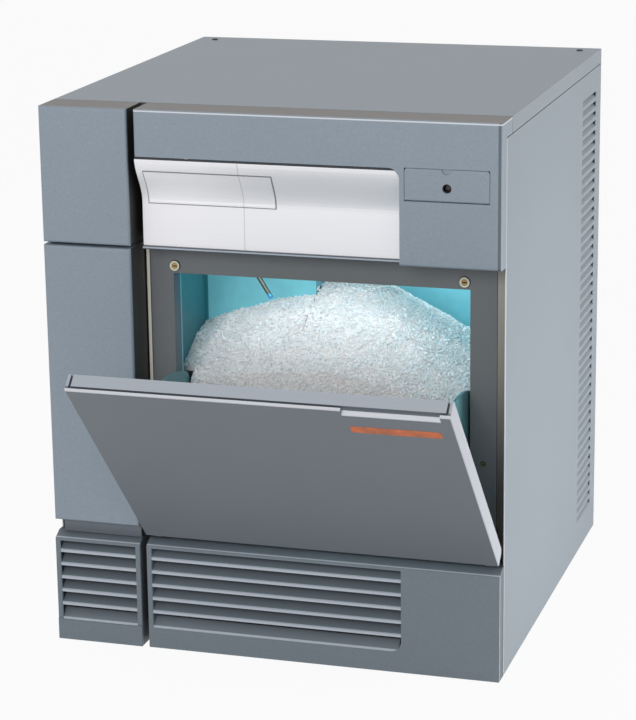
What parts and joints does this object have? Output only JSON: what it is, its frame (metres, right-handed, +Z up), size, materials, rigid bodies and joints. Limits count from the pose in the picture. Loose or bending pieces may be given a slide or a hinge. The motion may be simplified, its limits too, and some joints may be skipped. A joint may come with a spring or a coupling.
{
  "type": "flake ice machine",
  "caption": "Undercounter flake ice machine: sheet-metal cabinet with moulded front, tilting hopper door shown open, insulated ice bin, freezer, cooling set and water feed.",
  "frame": {"origin": "centre of the cabinet's base on the floor", "axes": "+X to the right seen from the front, +Y towards the rear, +Z up"},
  "size_m": [0.5, 0.7674, 0.5982],
  "materials": {
    "cabinet_paint": "smooth satin paint",
    "front_moulding": "fine-grained blue-grey",
    "door_skin": "satin blue-grey",
    "bright_trim": "finely brushed, bright",
    "zinc_sheet": "zinc-plated sheet",
    "bezel_grey": "fine grain",
    "post_beige": "primed",
    "bin_teal": "smooth",
    "door_teal": "smooth",
    "foam": "moulded foam",
    "flake_ice": "wet flakes",
    "washer_cream": "smooth",
    "screw_brass": "turned",
    "dark_screw": "blackened",
    "black_paint": "satin",
    "black_plastic": "fine grain",
    "rubber_black": "matt",
    "copper_tube": "drawn tube",
    "fin_aluminium": "mill",
    "stainless": "turned",
    "gear_grey": "painted casting",
    "lamp_lens": "smooth",
    "white_plastic": "smooth",
    "hose_grey": "smooth",
    "float_orange": "smooth"
  },
  "bodies": {
    "cabinet": {"base_tray": "zinc_sheet", "foot_nuts": "zinc_sheet", "left_side_panel": "cabinet_paint", "right_side_panel": "cabinet_paint", "rear_panel": "cabinet_paint", "top_cover": "cabinet_paint", "top_cover_screws": "dark_screw", "left_corner_post": "post_beige", "right_corner_post": "post_beige", "front_fascia": "front_moulding", "trim_plate": "bright_trim", "left_upper_panel": "front_moulding", "left_middle_panel": "front_moulding", "left_grille": "front_moulding", "lower_grille": "front_moulding", "bin_bezel": "bezel_grey", "bezel_cup_washers": "washer_cream", "bezel_screws": "screw_brass", "bin_liner": "bin_teal", "bin_insulation": "foam", "bin_supports": "zinc_sheet", "ice_heap": "flake_ice", "bin_probe": "bin_teal", "ice_spout": "white_plastic", "hinge_brackets": "zinc_sheet", "hinge_pins": "stainless", "switch_panel": "black_plastic", "switch_housing": "black_plastic", "pilot_lamp": "lamp_lens", "control_box": "zinc_sheet", "compressor": "black_paint", "compressor_grommets": "rubber_black", "terminal_cover": "black_plastic", "condenser_fins": "fin_aluminium", "condenser_coil": "copper_tube", "fan_shroud": "black_plastic", "fan_motor": "black_paint", "filter_drier": "copper_tube", "discharge_line": "copper_tube", "suction_line": "copper_tube", "liquid_line": "copper_tube", "freezer_stand": "zinc_sheet", "gear_case": "gear_grey", "drive_motor": "gear_grey", "freezer_barrel": "stainless", "evaporator_coil": "copper_tube", "freezer_jacket": "foam", "upper_bearing": "stainless", "float_tank": "white_plastic", "water_inlet": "screw_brass", "feed_hose": "hose_grey", "drain_hose": "hose_grey", "cable_gland": "black_plastic"},
    "door": {"door_panel": "door_skin", "door_liner": "door_teal"},
    "flap": {"control_flap": "front_moulding"},
    "rocker": {"switch_rocker": "black_plastic"},
    "fan": {"fan_blade": "fin_aluminium"},
    "auger_shaft": {"auger": "stainless"},
    "float": {"float_arm": "float_orange"}
  },
  "joints": [
    {"name": "door_tilt", "type": "hinge", "parent": "cabinet", "child": "door", "pos_m": [0, -0.257, 0.132], "axis": [-1, 0, 0], "range_deg": [0, 43.5]},
    {"name": "flap_tilt", "type": "hinge", "parent": "cabinet", "child": "flap", "pos_m": [0.19275, -0.263, 0.5165], "axis": [1, 0, 0], "range_deg": [0, 90]},
    {"name": "rocker_tilt", "type": "hinge", "parent": "cabinet", "child": "rocker", "pos_m": [0.17062, -0.251, 0.53125], "axis": [-1, 0, 0], "range_deg": [0, 16]},
    {"name": "fan_spin", "type": "hinge", "parent": "cabinet", "child": "fan", "pos_m": [-0.0055, -0.17, 0.0625], "axis": [0, 1, 0], "continuous": true},
    {"name": "auger_spin", "type": "hinge", "parent": "cabinet", "child": "auger_shaft", "pos_m": [-0.0781, -0.0163, 0.3], "axis": [0, 0, 1], "continuous": true},
    {"name": "float_drop", "type": "hinge", "parent": "cabinet", "child": "float", "pos_m": [-0.184, -0.0876, 0.379], "axis": [1, 0, 0], "range_deg": [0, 15]}
  ]
}
